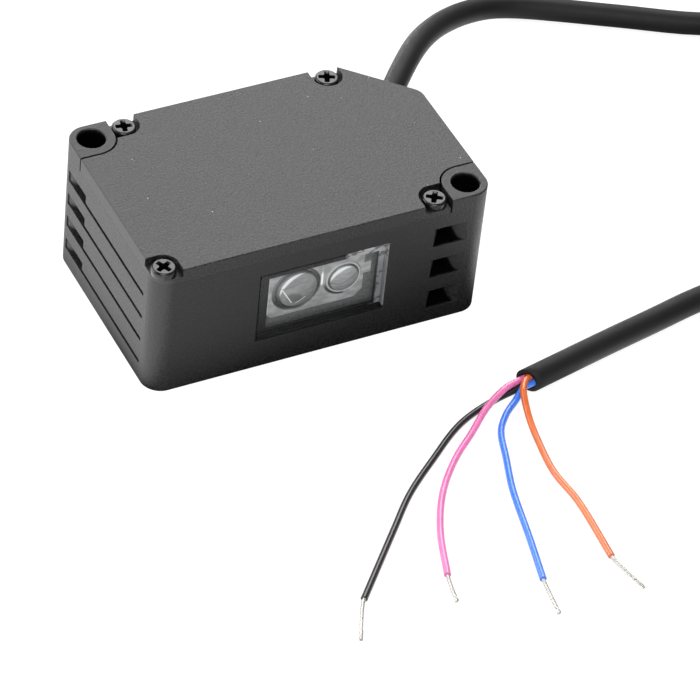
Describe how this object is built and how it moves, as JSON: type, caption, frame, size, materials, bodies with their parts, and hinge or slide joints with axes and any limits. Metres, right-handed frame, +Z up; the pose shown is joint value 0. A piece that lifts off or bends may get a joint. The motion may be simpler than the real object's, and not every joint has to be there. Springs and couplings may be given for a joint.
{
  "type": "photoelectric switch",
  "caption": "Compact box-shaped photoelectric switch with a sending and a receiving lens behind a clear front window, corner mounting holes and a pre-wired cable with bare cores.",
  "frame": {"origin": "middle of the body's underside", "axes": "+X along the body's long side towards the cut-off corner with the cable, -Y out of the sensing window, +Z up through the screwed cover"},
  "size_m": [0.1774, 0.1305, 0.0245],
  "materials": {
    "housing_plastic": "fine matte grain",
    "cover_plastic": "fine matte grain",
    "screw_black": "black, shiny",
    "window_clear": "clear, polished",
    "lens_clear": "tinted, polished",
    "seal_rubber": "matte",
    "block_plastic": "matte",
    "diode_clear": "glossy",
    "diode_dark": "glossy",
    "board_green": "glossy",
    "chip_black": "matte",
    "pin_brass": "satin",
    "can_aluminium": "satin",
    "chip_ceramic": "matte",
    "indicator_orange": "glossy",
    "jacket_plastic": "satin",
    "tie_plastic": "matte",
    "core_black_plastic": "soft gloss",
    "core_pink_plastic": "soft gloss",
    "core_blue_plastic": "soft gloss",
    "core_orange_plastic": "soft gloss",
    "strand_tinned": "tinned copper"
  },
  "bodies": {
    "root": {"housing": "housing_plastic", "cover": "cover_plastic", "cover_gasket": "seal_rubber", "cover_screws": "screw_black", "front_window": "window_clear", "window_seal": "seal_rubber", "lens_moulding": "lens_clear", "optical_block": "block_plastic", "receiver_diode": "diode_dark", "emitter_diode": "diode_clear", "optics_board": "board_green", "board_pins": "pin_brass", "main_board": "board_green", "signal_ic": "chip_black", "voltage_regulator": "chip_black", "output_transistor": "chip_black", "smoothing_capacitor": "can_aluminium", "chip_parts": "chip_ceramic", "indicator_diode": "indicator_orange", "indicator_window": "indicator_orange", "cable_bush": "seal_rubber", "lead_black": "core_black_plastic", "lead_pink": "core_pink_plastic", "lead_blue": "core_blue_plastic", "lead_orange": "core_orange_plastic", "cable_feed": "jacket_plastic", "cable_coil": "jacket_plastic", "coil_ties": "tie_plastic", "cable_tail": "jacket_plastic", "core_black": "core_black_plastic", "core_pink": "core_pink_plastic", "core_blue": "core_blue_plastic", "core_orange": "core_orange_plastic", "strand_black": "strand_tinned", "strand_pink": "strand_tinned", "strand_blue": "strand_tinned", "strand_orange": "strand_tinned"}
  },
  "joints": []
}
